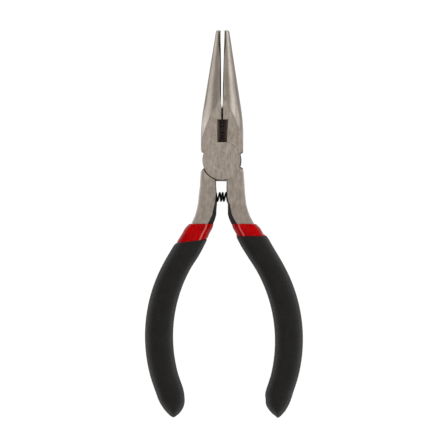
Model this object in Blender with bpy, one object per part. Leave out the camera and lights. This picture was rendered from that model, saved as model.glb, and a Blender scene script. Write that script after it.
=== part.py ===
"""Miniature long-nose pliers with a side cutter, a return spring and double-dipped handles.

The pliers lie on their back: +Z is up, +Y runs from the pivot to the jaw tips and +X is to the right.
The origin is on the pivot's axis, in the plane that the pliers lie on. The shape is the closed pose:
the cutter's edges meet and the jaw tips stay a millimetre apart. Each lever has one jaw, one half of
the lap joint and the opposite arm.

Each half is drawn once, in its own coordinates: u is the distance outwards from the middle line, y is
the distance along it and z is the height. A side of +1 or -1 puts it in place, with a small turn for
a jaw and a small lean for an arm or handle.
"""
import math

import bmesh
import bpy
from mathutils import Matrix, Vector

MM = 0.001

# Overall (all in millimetres and degrees)
THICKNESS = 9.4
MID_Z = THICKNESS / 2
LEFT, RIGHT = -1, 1
JAW_TURN = {LEFT: 0.27, RIGHT: -0.85}
HANDLE_LEAN = 0.0096

# Jaws
JAW_TIP_Y = 42.67
JAW_WIDTH = 6.9
JAW_TAPER = 0.168
TAPER_START_Y = 7.0
TAPER_FULL_Y = 17.0
FACE_APEX_Y = 19.2
FACE_FOOT_Y = 5.6
TIP_HALF_HEIGHT = 1.35
TIP_CHAMFER = 0.3
FACE_SHARE_LIMIT = 0.965
JAW_ROOT = {
    LEFT: ((5.6, 6.9), (3.6, 6.88), (2.95, 6.7), (2.5, 5.9)),
    RIGHT: ((5.6, 6.9), (3.4, 6.89), (2.75, 6.84), (2.45, 6.5), (2.1, 6.0)),
}
ROOT_SETBACK = {LEFT: 0.0, RIGHT: 0.42}
ROOT_SETBACK_START = 4.6
NOSE_STEPS = (40.0, 36.0, 31.0, 27.0, 23.0, 19.2, 18.5, 17.0, 16.0, 14.5, 12.5, 10.5, 8.5, 7.0, 6.0)
ROUND_STEPS = 10

# Cutter between the jaws. Its edges meet when the pliers are closed, and the tips then stay apart
CUTTER_EDGE = 0.03
WINDOW_BOTTOM_Y = 5.85
WINDOW_TOP_Y = 13.3
WINDOW_BOTTOM_HALF = {LEFT: 1.54, RIGHT: 1.66}
WINDOW_TOP_HALF = {LEFT: 1.54, RIGHT: 1.79}
GROOVE_TOP_Y = 17.4
GROOVE_HALF_WIDTH = {LEFT: 0.27, RIGHT: 0.39}
EDGE_LAND = 0.05
GROOVE_FLOOR = 1.0
CAP_HALF_WIDTH = 1.7
CUT_MARGIN = 1.5

# Inner faces of the closed jaws: (y, distance from the closing plane)
FACE_LINE = {
    LEFT: ((17.0, CUTTER_EDGE), (18.5, 0.29), (29.0, 0.29), (42.67, 0.42)),
    RIGHT: ((17.0, CUTTER_EDGE), (18.5, 0.25), (24.0, 0.3), (42.67, 0.8)),
}

# Lap joint. Each half disc is smaller where the other jaw seats it, between two bearings in degrees
DISC_RADIUS = 6.38
SEATED_RADIUS = 6.05
SEATED_FROM, SEATED_TO = -25.0, 95.0
BEARING_BLEND = 6.0
JAW_CLEARANCE = 0.17
JAW_SEAT_Y = 1.9
ARM_CLEARANCE = 0.45
WEB_LOW = (-2.4, -6.64)
WEB_HIGH = (1.45, -5.0)
WEB_DROP = 0.2
LAP_GAP = 0.1
RIVET_RADIUS = 2.6
RIVET_CLEARANCE = 0.06
ROUND_SEGMENTS = 64
PIN_SEGMENTS = 32

# Arms
ARM_SHOULDER = {
    LEFT: ((2.4, 5.9), (3.1, 6.72), (3.8, 7.0)),
    RIGHT: ((1.85, 5.7), (2.3, 6.6), (2.65, 6.88), (3.8, 7.08)),
}
SHOULDER_SETBACK = {LEFT: 0.0, RIGHT: 0.55}
SHOULDER_SETBACK_END = 4.6
ARM_STEPS = (6.4, 8.5, 10.3, 12.3, 13.6, 14.1, 15.0, 16.2, 17.7, 19.2)
ARM_OUTER = {
    LEFT: (
        (3.8, 7.0), (6.4, 7.2), (8.5, 7.34), (10.3, 7.59), (12.3, 7.82), (14.2, 8.06), (16.2, 8.51),
        (18.2, 9.1), (20.1, 9.99), (21.0, 10.4),
    ),
    RIGHT: (
        (3.8, 7.08), (6.4, 7.24), (8.5, 7.38), (10.3, 7.47), (12.3, 7.62), (14.2, 7.83), (16.2, 8.33),
        (18.2, 9.03), (20.1, 10.08), (21.0, 10.45),
    ),
}
ARM_INNER = {
    LEFT: (
        (2.0, 2.04), (8.5, 1.99), (10.1, 1.88), (13.6, 1.7), (16.0, 1.95), (17.7, 2.03), (19.2, 2.47),
    ),
    RIGHT: (
        (1.5, 1.48), (8.5, 1.40), (10.1, 1.36), (13.6, 1.46), (14.1, 1.76), (17.7, 1.74), (19.2, 2.2),
    ),
}
FACE_EDGE_INSET = 0.15
FACE_EDGE_START = {LEFT: 10.5, RIGHT: 12.0}
FACE_EDGE_SLOPE = {LEFT: 0.155, RIGHT: 0.19}
EDGE_DRAFT = 0.35
ARM_START_HALF_HEIGHT = 5.1
ARM_END_HALF_HEIGHT = 3.7

# Return spring: where the wire passes its lowest and highest points by turns, along X
SPRING_DEPTH = 11.9
WIRE_RADIUS = 0.3
COIL_RADIUS = 1.35
HALF_TURNS = (
    -3.6, -3.1, -2.6, -2.1, -1.6, -0.82, -0.42, 0.12, 0.48, 1.24, 1.69, 2.2, 2.7, 3.2, 3.7,
)
POINTS_PER_HALF_TURN = 5
HOLE_RADIUS = 1.8
HOLE_END = 4.2

# Handles: the outer surface's two edges, as pairs of (u, depth below the pivot)
COLLAR_CHORDS = (
    ((10.95, 20.7), (2.95, 20.7)),
    ((12.3, 22.1), (3.4, 22.2)),
    ((13.4, 24.0), (4.5, 24.2)),
)
GRIP_RIM = {LEFT: ((15.35, 27.0), (5.1, 25.8)), RIGHT: ((14.35, 24.6), (4.4, 24.85))}
RIM_TO_BOW_CHORDS = {
    LEFT: (((15.85, 27.5), (6.2, 28.1)), ((16.4, 28.3), (7.95, 31.3))),
    RIGHT: (((15.6, 26.6), (5.95, 28.0)), ((16.5, 28.2), (7.95, 31.3))),
}
OUTER_BOW = {LEFT: (-24.37, 57.95, 50.2), RIGHT: (-24.03, 58.04, 50.03)}
INNER_BOW = {LEFT: (-29.54, 58.04, 46.1), RIGHT: (-30.02, 58.65, 46.79)}
BOW_STEP = 7.16
BOW_STEPS_ABOVE = 4
BOW_STEPS_BELOW = 3
END_CHORDS = {
    LEFT: (
        ((21.5, 78.6), (12.95, 78.2)), ((20.65, 80.2), (13.1, 79.8)), ((19.7, 81.6), (13.65, 81.3)),
        ((18.7, 82.75), (14.65, 82.7)), ((17.75, 83.65), (15.75, 83.65)), ((17.0, 84.1), (16.5, 84.1)),
    ),
    RIGHT: (
        ((21.7, 78.8), (13.5, 78.2)), ((20.95, 80.4), (13.6, 79.8)), ((20.15, 81.8), (14.25, 81.2)),
        ((19.2, 82.95), (15.45, 82.7)), ((18.3, 83.85), (16.7, 83.75)), ((17.7, 84.25), (17.2, 84.25)),
    ),
}
END_HALF_HEIGHTS = (4.6, 4.3, 3.7, 2.8, 1.6, 0.6)
ROUND_RECTANGLE = ((1.0, 0.0), (0.975, 0.52), (0.80, 0.88), (0.5, 1.0))

# Layers, measured inwards from the handle's outer surface: (at the rim, along the bow)
SLEEVE_FACE_DROP = 0.5
GRIP_WALL = (0.3, 0.8)
LAYER_GAP = 0.12
SLEEVE_WALL = 0.32


def mix(a, b, t):
    return a + (b - a) * t


def smooth(t):
    t = min(max(t, 0.0), 1.0)
    return t * t * (3 - 2 * t)


def read_line(stations, at):
    """Value at one place along a line given by (place, value) points."""
    value = stations[0][1]
    for (start, a), (end, b) in zip(stations, stations[1:]):
        if at > start:
            value = mix(a, b, (at - start) / (end - start))
    return value


def place(u, y, z, side, turn):
    """A point of a jaw, given outwards, along and up, put on its side and turned about the pivot."""
    angle = math.radians(turn)
    x = side * u
    return Vector((
        (x * math.cos(angle) - y * math.sin(angle)) * MM,
        (x * math.sin(angle) + y * math.cos(angle)) * MM,
        z * MM,
    ))


def lean(u, depth, z, side):
    """A point of an arm or handle, given outwards, down from the pivot and up from mid-thickness."""
    return Vector((side * u + HANDLE_LEAN * depth, -depth, MID_Z + z)) * MM


def loft(rings):
    """One closed mesh through rings of the same number of points, with a flat face at each end."""
    bm = bmesh.new()
    loops = [[bm.verts.new(point) for point in ring] for ring in rings]
    count = len(loops[0])
    for lower, upper in zip(loops, loops[1:]):
        for i in range(count):
            j = (i + 1) % count
            bm.faces.new((lower[i], lower[j], upper[j], upper[i]))
    bm.faces.new(loops[0])
    bm.faces.new(loops[-1])
    finish_solid(bm)
    return bm


def finish_solid(bm):
    bmesh.ops.remove_doubles(bm, verts=bm.verts, dist=0.004 * MM)
    bmesh.ops.triangulate(bm, faces=[f for f in bm.faces if len(f.verts) > 3])
    bmesh.ops.recalc_face_normals(bm, faces=bm.faces)


def cylinder(radius, low, high, segments, matrix=Matrix()):
    """A closed cylinder along Z from low to high, moved by matrix."""
    bm = bmesh.new()
    centre = Matrix.Translation((0, 0, (low + high) / 2 * MM))
    turn = Matrix.Rotation(math.pi / segments, 4, "Z")
    bmesh.ops.create_cone(
        bm, cap_ends=True, segments=segments, radius1=radius * MM, radius2=radius * MM,
        depth=(high - low) * MM, matrix=matrix @ centre @ turn,
    )
    return bm


def block(low, high):
    """A closed box between two corners."""
    bm = bmesh.new()
    bmesh.ops.create_cube(bm, size=1.0)
    for vert in bm.verts:
        vert.co = Vector([mix(a, b, c + 0.5) * MM for a, b, c in zip(low, high, vert.co)])
    return bm


def material(name, colour, roughness, metallic):
    made = bpy.data.materials.new(name)
    made.use_nodes = True
    shader = made.node_tree.nodes["Principled BSDF"]
    shader.inputs["Base Color"].default_value = (*colour, 1.0)
    shader.inputs["Roughness"].default_value = roughness
    shader.inputs["Metallic"].default_value = metallic
    return made


def add(name, bm, collection, surface=None):
    """A bmesh as a named object, shaded smooth across its gentle edges."""
    mesh = bpy.data.meshes.new(name)
    bm.to_mesh(mesh)
    bm.free()
    mesh.shade_smooth()
    mesh.set_sharp_from_angle(angle=math.radians(30))
    made = bpy.data.objects.new(name, mesh)
    collection.objects.link(made)
    if surface:
        mesh.materials.append(surface)
    else:
        made.hide_render = True
        made.display_type = "WIRE"
    return made


def combine(target, tool, operation):
    step = target.modifiers.new(tool.name, "BOOLEAN")
    step.operation = operation
    step.solver = "EXACT"
    step.object = tool


# Jaws

def jaw_width(y):
    """Half-breadth of a jaw: straight at the root, then a parabola into a straight taper."""
    if y <= TAPER_START_Y:
        return JAW_WIDTH
    blend = TAPER_FULL_Y - TAPER_START_Y
    run = y - TAPER_START_Y
    if run < blend:
        return JAW_WIDTH - JAW_TAPER * run * run / (2 * blend)
    return JAW_WIDTH - JAW_TAPER * (run - blend / 2)


def face_distance(side, y):
    """Distance of a jaw's inner face from its own turned axis."""
    angle = math.radians(abs(JAW_TURN[side]))
    return (read_line(FACE_LINE[side], y) - y * math.sin(angle)) / math.cos(angle)


def jaw_ring(side, y, width, inset=0.0):
    """Half of an ellipse beside the inner face, taller than the pliers are thick near the root.

    At the root's end the flat faces stop short of mid-thickness by the side's setback.
    """
    if y >= FACE_APEX_Y:
        along = (y - FACE_APEX_Y) / (JAW_TIP_Y - FACE_APEX_Y)
        height = mix(MID_Z, TIP_HALF_HEIGHT, along)
    else:
        share = min((FACE_APEX_Y - y) / (FACE_APEX_Y - FACE_FOOT_Y), FACE_SHARE_LIMIT)
        height = MID_Z / math.sqrt(1 - share)
    width, height = width - inset, height - inset
    face = face_distance(side, y)
    start = math.acos((max(face, 0.0) + 0.02) / width)
    arc = []
    for i in range(ROUND_STEPS + 1):
        angle = mix(start, -start, i / ROUND_STEPS)
        arc.append((width * math.cos(angle), height * math.sin(angle)))
    fade = (ROOT_SETBACK_START - y) / (ROOT_SETBACK_START - JAW_ROOT[side][-1][0])
    setback = ROOT_SETBACK[side] * min(max(fade, 0.0), 1.0)
    ring = [(face, height)] + arc + [(face, -height)]
    return [(u, y + setback * min(abs(z) / MID_Z, 1.0) ** 2, z) for u, z in ring]


def jaw(side):
    turn = JAW_TURN[side]
    stations = [(JAW_TIP_Y, jaw_width(JAW_TIP_Y), TIP_CHAMFER)]
    stations.append((JAW_TIP_Y - TIP_CHAMFER, jaw_width(JAW_TIP_Y - TIP_CHAMFER), 0.0))
    stations += [(y, jaw_width(y), 0.0) for y in NOSE_STEPS]
    stations += [(y, width, 0.0) for y, width in JAW_ROOT[side]]
    rings = []
    for y, width, inset in stations:
        ring = jaw_ring(side, y, width, inset)
        rings.append([place(u, along, MID_Z + z, side, turn) for u, along, z in ring])
    return loft(rings)


def cutter_prisms(side, low_end, high_end):
    """A solid between two ends, each (y, outline of (u, height)), above and below the middle."""
    return [
        loft([
            [place(u, y, MID_Z + up * z, side, 0.0) for u, z in outline]
            for y, outline in (low_end, high_end)
        ])
        for up in (1, -1)
    ]


def bevel_outline(half_width):
    """From the cutting edge at mid-thickness out to the window's edge on the flat face."""
    top = MID_Z + CUT_MARGIN
    reach = CUTTER_EDGE + (half_width - CUTTER_EDGE) * top / MID_Z
    return ((-1.0, EDGE_LAND), (CUTTER_EDGE, EDGE_LAND), (reach, top), (-1.0, top))


def cutter_shapes(side):
    """The window's bevels meet at an edge at mid-thickness, and a narrow groove runs on above it."""
    top = MID_Z + CUT_MARGIN
    half = GROOVE_HALF_WIDTH[side]
    groove = ((-0.8, GROOVE_FLOOR), (half, GROOVE_FLOOR), (half, top), (-0.8, top))
    bevels = cutter_prisms(
        side,
        (WINDOW_BOTTOM_Y - 1.0, bevel_outline(WINDOW_BOTTOM_HALF[side])),
        (WINDOW_TOP_Y, bevel_outline(WINDOW_TOP_HALF[side])),
    )
    grooves = cutter_prisms(side, (WINDOW_TOP_Y - 0.7, groove), (GROOVE_TOP_Y, groove))
    return bevels + grooves


# Arms and handles

def arm_ring(side, depth, outer):
    """Forged section: ground flat front and back, widest at mid-thickness, its upper end drafted."""
    inner = read_line(ARM_INNER[side], depth)
    slope = FACE_EDGE_SLOPE[side] * max(0.0, depth - FACE_EDGE_START[side])
    face_inner = inner + FACE_EDGE_INSET + slope
    face_outer = outer - EDGE_DRAFT
    height = mix(ARM_START_HALF_HEIGHT, ARM_END_HALF_HEIGHT, depth / COLLAR_CHORDS[0][0][1])
    upper = [
        (outer, 0.0),
        (mix(outer, face_outer, 0.33), height * 0.33),
        (mix(outer, face_outer, 0.67), height * 0.67),
        (face_outer, height),
        (mix(face_inner, face_outer, 0.33), height),
        (face_inner, height),
        (mix(inner, face_inner, 0.5), height * 0.5),
        (inner, 0.0),
    ]
    lower = [(u, -z) for u, z in reversed(upper[1:-1])]
    fade = (SHOULDER_SETBACK_END - depth) / (SHOULDER_SETBACK_END - ARM_SHOULDER[side][0][0])
    setback = SHOULDER_SETBACK[side] * min(max(fade, 0.0), 1.0)
    return [(u, depth + setback * min(abs(z) / MID_Z, 1.0), z) for u, z in upper + lower]


def handle_chords(side):
    """Lines across the handle, from its outer edge to its inner edge, and the half-height there."""
    chords = list(COLLAR_CHORDS) + [GRIP_RIM[side]] + list(RIM_TO_BOW_CHORDS[side])
    for i in range(-BOW_STEPS_ABOVE, BOW_STEPS_BELOW + 1):
        angle = math.radians(i * BOW_STEP)
        chords.append(tuple(
            (u + radius * math.cos(angle), depth + radius * math.sin(angle))
            for u, depth, radius in (OUTER_BOW[side], INNER_BOW[side])
        ))
    heights = [MID_Z] * len(chords) + list(END_HALF_HEIGHTS)
    return chords + list(END_CHORDS[side]), heights


def handle_ring(chord, height, inset, drop):
    """A rounded rectangle on a chord, inset sideways and dropped below the outer surface."""
    (outer_u, outer_depth), (inner_u, inner_depth) = chord
    centre = ((outer_u + inner_u) / 2, (outer_depth + inner_depth) / 2)
    half = math.hypot(outer_u - inner_u, outer_depth - inner_depth) / 2
    shrink = (half - inset) / half
    reach = ((outer_u - centre[0]) * shrink, (outer_depth - centre[1]) * shrink)
    quarter = list(ROUND_RECTANGLE)
    upper = quarter + [(-a, b) for a, b in reversed(quarter)]
    shape = upper + [(a, -b) for a, b in reversed(upper[1:-1])]
    return [
        (centre[0] + reach[0] * a, centre[1] + reach[1] * a, (height - drop) * b)
        for a, b in shape
    ]


def placed(ring, side):
    return [lean(u, depth, z, side) for u, depth, z in ring]


RIM_INDEX = len(COLLAR_CHORDS)
BOW_START_INDEX = RIM_INDEX + 3
TANG_END_INDEX = BOW_START_INDEX + BOW_STEPS_ABOVE + BOW_STEPS_BELOW
SLEEVE_END_INDEX = TANG_END_INDEX + 1
GRIP_CAVITY_END_INDEX = TANG_END_INDEX + 2


def grip_wall(index):
    """The black layer is thin at its rim and has its full wall along the bow."""
    share = min(max((index - RIM_INDEX) / 2, 0.0), 1.0)
    return mix(GRIP_WALL[0], GRIP_WALL[1], share)


def sleeve_inset(index):
    """Sideways and vertical distance of the red layer below the handle's outer surface."""
    if index < RIM_INDEX:
        return 0.0, SLEEVE_FACE_DROP
    inset = grip_wall(index) + LAYER_GAP
    return inset, max(inset, SLEEVE_FACE_DROP)


def shell(outside, inside):
    """A sock: an outer and an inner loft, open at the first ring and closed at the far end."""
    bm = bmesh.new()
    count = len(outside[0])
    walls = []
    for rings in (outside, inside):
        loops = [[bm.verts.new(point) for point in ring] for ring in rings]
        for lower, upper in zip(loops, loops[1:]):
            for i in range(count):
                j = (i + 1) % count
                bm.faces.new((lower[i], lower[j], upper[j], upper[i]))
        bm.faces.new(loops[-1])
        walls.append(loops[0])
    for i in range(count):
        j = (i + 1) % count
        bm.faces.new((walls[0][i], walls[0][j], walls[1][j], walls[1][i]))
    finish_solid(bm)
    return bm


def grip(side):
    chords, heights = handle_chords(side)
    outside, inside = [], []
    for index in range(RIM_INDEX, len(chords)):
        chord, height = chords[index], heights[index]
        outside.append(placed(handle_ring(chord, height, 0.0, 0.0), side))
        if index <= GRIP_CAVITY_END_INDEX:
            wall = grip_wall(index)
            inside.append(placed(handle_ring(chord, height, wall, wall), side))
    return shell(outside, inside)


def sleeve(side):
    chords, heights = handle_chords(side)
    outside, inside = [], []
    for index in range(SLEEVE_END_INDEX + 1):
        inset, drop = sleeve_inset(index)
        ring = handle_ring(chords[index], heights[index], inset, drop)
        outside.append(placed(ring, side))
        if index <= TANG_END_INDEX:
            wall = SLEEVE_WALL
            ring = handle_ring(chords[index], heights[index], inset + wall, drop + wall)
            inside.append(placed(ring, side))
    return shell(outside, inside)


def arm(side):
    """The visible arm and, below the collar, the tang inside the sleeve."""
    rings = [arm_ring(side, depth, outer) for depth, outer in ARM_SHOULDER[side]]
    rings += [arm_ring(side, depth, read_line(ARM_OUTER[side], depth)) for depth in ARM_STEPS]
    chords, heights = handle_chords(side)
    for index in range(TANG_END_INDEX):
        inset, drop = sleeve_inset(index)
        layer = SLEEVE_WALL + LAYER_GAP
        rings.append(handle_ring(chords[index], heights[index], inset + layer, drop + layer))
    return loft([placed(ring, side) for ring in rings])


def disc_radius(side, x, y):
    """Radius of the half disc whose arm is on this side: smaller where the other jaw seats it."""
    bearing = math.degrees(math.atan2(y, side * x))
    start = smooth((bearing - SEATED_FROM) / BEARING_BLEND)
    end = smooth((SEATED_TO - bearing) / BEARING_BLEND)
    return mix(DISC_RADIUS, SEATED_RADIUS, start * end)


def round_solid(side, low, high, above, below):
    """An upright solid with the half disc's outline, larger beside the jaw's root and below it."""
    ring = []
    for i in range(ROUND_SEGMENTS):
        angle = (i + 0.5) * 2 * math.pi / ROUND_SEGMENTS
        x, y = math.cos(angle), math.sin(angle)
        radius = disc_radius(side, x, y) + (above if DISC_RADIUS * y > JAW_SEAT_Y else below)
        ring.append((radius * x, radius * y))
    return loft([[Vector((x, y, z)) * MM for x, y in ring] for z in (low, high)])


def lever(name, jaw_side, front, parts, tools, surface):
    """One forging: a jaw, half of the lap joint and the arm on the other side, ground flat."""
    arm_side = -jaw_side
    below, above = -CUT_MARGIN, THICKNESS + CUT_MARGIN
    made = add(name, jaw(jaw_side), parts, surface)
    for number, shape in enumerate(cutter_shapes(jaw_side)):
        combine(made, add(f"{name}_cutter_{number}", shape, tools), "DIFFERENCE")

    disc = round_solid(arm_side, -CUT_MARGIN / 2, THICKNESS + CUT_MARGIN / 2, 0.0, 0.0)
    disc = add(f"{name}_disc", disc, tools)
    cap = block((-CAP_HALF_WIDTH, WINDOW_BOTTOM_Y, below), (CAP_HALF_WIDTH, DISC_RADIUS + 1.0, above))
    combine(disc, add(f"{name}_disc_cap", cap, tools), "DIFFERENCE")
    combine(made, disc, "UNION")
    combine(made, add(f"{name}_arm", arm(arm_side), tools), "UNION")
    reach = JAW_TIP_Y * 3
    slab = block((-reach, -reach, 0.0), (reach, reach, THICKNESS))
    combine(made, add(f"{name}_slab", slab, tools), "INTERSECT")

    seat = (below, MID_Z + LAP_GAP / 2) if front else (MID_Z - LAP_GAP / 2, above)
    seat = round_solid(jaw_side, *seat, JAW_CLEARANCE, ARM_CLEARANCE)
    combine(made, add(f"{name}_seat", seat, tools), "DIFFERENCE")
    if not front:
        web = block((*WEB_LOW, 0.0), (*WEB_HIGH, MID_Z - LAP_GAP / 2 - WEB_DROP))
        combine(made, add(f"{name}_web", web, tools), "UNION")
    bore = cylinder(RIVET_RADIUS + RIVET_CLEARANCE, below, above, PIN_SEGMENTS)
    combine(made, add(f"{name}_bore", bore, tools), "DIFFERENCE")
    combine(made, add(f"{name}_spring_hole", spring_hole(arm_side), tools), "DIFFERENCE")
    return made


# Spring and rivet

def spring_line():
    """The middle of the space between the arms, where the spring's axis lies along X."""
    return lean(0.0, SPRING_DEPTH, 0.0, RIGHT)


def spring_hole(side):
    centre = spring_line()
    along = Matrix.Rotation(side * math.pi / 2, 4, "Y")
    matrix = Matrix.Translation(centre) @ along
    return cylinder(HOLE_RADIUS, 0.5, HOLE_END, PIN_SEGMENTS, matrix)


def spring(parts, surface):
    """A coil of round wire along X, made as a curve and turned into a closed mesh."""
    centre = spring_line()
    stations = list(enumerate(HALF_TURNS))
    count = (len(HALF_TURNS) - 1) * POINTS_PER_HALF_TURN + 1
    line = bpy.data.curves.new("return_spring_line", "CURVE")
    line.dimensions = "3D"
    line.bevel_depth = WIRE_RADIUS * MM
    line.bevel_resolution = 2
    line.use_fill_caps = True
    spline = line.splines.new("POLY")
    spline.points.add(count - 1)
    for i, point in enumerate(spline.points):
        half_turns = i / POINTS_PER_HALF_TURN
        angle = math.pi * half_turns
        x = read_line(stations, half_turns)
        offset = Vector((x, -COIL_RADIUS * math.cos(angle), COIL_RADIUS * math.sin(angle)))
        point.co = (*(centre + offset * MM), 1.0)
    curve = bpy.data.objects.new("return_spring_line", line)
    parts.objects.link(curve)
    bpy.context.view_layer.update()
    evaluated = curve.evaluated_get(bpy.context.evaluated_depsgraph_get())
    mesh = bpy.data.meshes.new_from_object(evaluated)
    bm = bmesh.new()
    bm.from_mesh(mesh)
    bmesh.ops.remove_doubles(bm, verts=bm.verts, dist=0.01 * MM)
    bmesh.ops.recalc_face_normals(bm, faces=bm.faces)
    made = add("return_spring", bm, parts, surface)
    made.matrix_world = curve.matrix_world
    bpy.data.objects.remove(curve)
    return made


def clear_scene():
    for item in list(bpy.data.objects):
        bpy.data.objects.remove(item, do_unlink=True)


def main():
    clear_scene()
    parts = bpy.data.collections.new("long_nose_pliers")
    tools = bpy.data.collections.new("cutters")
    for collection in (parts, tools):
        bpy.context.scene.collection.children.link(collection)

    steel = (0.35, 0.32, 0.29)
    black_steel = (0.02, 0.02, 0.02)
    red = (0.55, 0.006, 0.01)
    black = (0.018, 0.018, 0.017)
    lever("front_lever", LEFT, True, parts, tools, material("front_steel", steel, 0.4, 0.9))
    lever("rear_lever", RIGHT, False, parts, tools, material("rear_steel", steel, 0.4, 0.9))
    rivet = cylinder(RIVET_RADIUS, 0.0, THICKNESS, PIN_SEGMENTS)
    add("rivet", rivet, parts, material("rivet_steel", steel, 0.4, 0.9))
    spring(parts, material("spring_wire", black_steel, 0.45, 0.8))
    for side, word in ((LEFT, "left"), (RIGHT, "right")):
        inner = material(f"{word}_red_plastic", red, 0.18, 0.0)
        add(f"{word}_inner_sleeve", sleeve(side), parts, inner)
        outer = material(f"{word}_black_plastic", black, 0.75, 0.0)
        add(f"{word}_grip", grip(side), parts, outer)


main()
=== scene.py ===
"""Looks of the miniature long-nose pliers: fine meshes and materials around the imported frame."""
import math

import bmesh
import bpy
from mathutils import Matrix, Vector


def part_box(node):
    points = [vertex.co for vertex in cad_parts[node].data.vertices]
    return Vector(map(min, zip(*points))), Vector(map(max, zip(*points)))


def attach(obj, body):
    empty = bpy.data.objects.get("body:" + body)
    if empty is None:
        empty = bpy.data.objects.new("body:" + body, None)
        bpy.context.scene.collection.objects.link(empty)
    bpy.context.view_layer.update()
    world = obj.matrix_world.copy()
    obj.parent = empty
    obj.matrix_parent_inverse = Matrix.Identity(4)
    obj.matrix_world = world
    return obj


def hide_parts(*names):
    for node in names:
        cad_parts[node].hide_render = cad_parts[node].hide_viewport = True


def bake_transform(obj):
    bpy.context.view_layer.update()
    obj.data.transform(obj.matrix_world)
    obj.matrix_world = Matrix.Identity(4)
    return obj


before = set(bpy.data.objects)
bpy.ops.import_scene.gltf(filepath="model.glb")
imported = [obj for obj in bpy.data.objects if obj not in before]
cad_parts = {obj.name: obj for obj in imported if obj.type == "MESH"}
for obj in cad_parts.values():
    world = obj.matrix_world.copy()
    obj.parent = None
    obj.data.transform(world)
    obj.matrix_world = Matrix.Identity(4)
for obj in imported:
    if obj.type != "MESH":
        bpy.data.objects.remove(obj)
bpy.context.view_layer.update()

MM = 0.001
LEFT, RIGHT = -1, 1
SIDE_NAME = {LEFT: "left", RIGHT: "right"}
REAR_BODY, FRONT_BODY = "rear_half", "front_half"

# Sizes read from the frame, in millimetres
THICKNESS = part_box("rivet")[1].z / MM
MID_Z = THICKNESS / 2

# The driving sizes that the solids share, in millimetres and degrees
JAW_TURN = {LEFT: 0.27, RIGHT: -0.85}
HANDLE_LEAN = 0.0096
JAW_TIP_Y = 42.668
JAW_WIDTH = 6.9
JAW_TAPER = 0.168
TAPER_START_Y = 7.0
TAPER_FULL_Y = 17.0
FACE_APEX_Y = 19.2
FACE_FOOT_Y = 5.6
FACE_SHARE_LIMIT = 0.965
TIP_HALF_HEIGHT = 1.35
JAW_ROOT = {
    LEFT: ((5.6, 6.9), (4.6, 6.9), (3.7, 6.88), (3.2, 6.8), (2.9, 6.62), (2.7, 6.3), (2.5, 5.9)),
    RIGHT: ((5.6, 6.9), (4.6, 6.9), (3.4, 6.89), (2.9, 6.87), (2.7, 6.82), (2.45, 6.5), (2.1, 6.0)),
}
ROOT_SETBACK = {LEFT: 0.0, RIGHT: 0.42}
ROOT_SETBACK_START = 4.6
CUTTER_EDGE = 0.004
WINDOW_BOTTOM_Y = 5.85
WINDOW_TOP_Y = 13.3
WINDOW_BOTTOM_HALF = {LEFT: 1.6, RIGHT: 1.66}
WINDOW_TOP_HALF = {LEFT: 1.58, RIGHT: 1.96}
GROOVE_TOP_Y = 17.4
GROOVE_HALF_WIDTH = {LEFT: 0.27, RIGHT: 0.39}
EDGE_LAND = 0.05
GROOVE_FLOOR = 1.0
CUT_MARGIN = 1.5
CAP_HALF_WIDTH = 1.7
FACE_LINE = {
    LEFT: ((17.0, CUTTER_EDGE), (18.5, 0.29), (29.0, 0.29), (42.67, 0.42)),
    RIGHT: ((17.0, CUTTER_EDGE), (18.5, 0.25), (24.0, 0.3), (42.67, 0.8)),
}
DISC_RADIUS = 6.38
SEATED_RADIUS = 6.05
SEATED_FROM, SEATED_TO = -25.0, 95.0
BEARING_BLEND = 6.0
JAW_CLEARANCE = 0.08
JAW_SEAT_Y = 1.9
ARM_CLEARANCE = 0.34
WEB_LOW = (-2.4, -6.64)
WEB_HIGH = (1.45, -5.0)
WEB_DROP = 0.2
LAP_GAP = 0.1
RIVET_RADIUS = 2.64
BORE_RADIUS = 2.66
ARM_SHOULDER = {
    LEFT: ((2.4, 5.9), (2.8, 6.4), (3.1, 6.72), (3.4, 6.88), (3.8, 7.0)),
    RIGHT: ((1.85, 5.7), (2.05, 6.1), (2.3, 6.6), (2.65, 6.88), (3.2, 6.98), (3.8, 7.08)),
}
SHOULDER_SETBACK = {LEFT: 0.0, RIGHT: 0.55}
SHOULDER_SETBACK_END = 4.6
ARM_OUTER = {
    LEFT: (
        (3.8, 7.0), (6.4, 7.2), (8.5, 7.34), (10.3, 7.59), (12.3, 7.82), (14.2, 8.06), (16.2, 8.51),
        (18.2, 9.1), (20.1, 9.99), (21.0, 10.4),
    ),
    RIGHT: (
        (3.8, 7.08), (6.4, 7.24), (8.5, 7.38), (10.3, 7.47), (12.3, 7.62), (14.2, 7.83), (16.2, 8.33),
        (18.2, 9.03), (20.1, 10.08), (21.0, 10.45),
    ),
}
ARM_INNER = {
    LEFT: (
        (2.0, 2.04), (8.5, 1.99), (10.1, 1.88), (13.6, 1.7), (16.0, 1.95), (17.7, 2.03),
        (19.2, 2.47), (21.0, 3.2),
    ),
    RIGHT: (
        (1.5, 1.48), (8.5, 1.40), (10.1, 1.36), (13.6, 1.46), (14.1, 1.76),
        (17.7, 1.74), (19.2, 2.2), (21.0, 2.98),
    ),
}
FACE_EDGE_INSET = 0.15
FACE_EDGE_START = {LEFT: 10.5, RIGHT: 12.0}
FACE_EDGE_SLOPE = {LEFT: 0.155, RIGHT: 0.19}
EDGE_DRAFT = 0.35
ARM_START_HALF_HEIGHT = 5.1
ARM_END_HALF_HEIGHT = 3.7
SPRING_DEPTH = 11.9
WIRE_RADIUS = 0.3
COIL_RADIUS = 1.35
HALF_TURNS = (
    -3.6, -3.1, -2.6, -2.1, -1.6, -0.82, -0.42, 0.12, 0.48, 1.24, 1.69, 2.2, 2.7, 3.2, 3.7,
)
HOLE_RADIUS = 1.8
HOLE_END = 4.2

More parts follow.
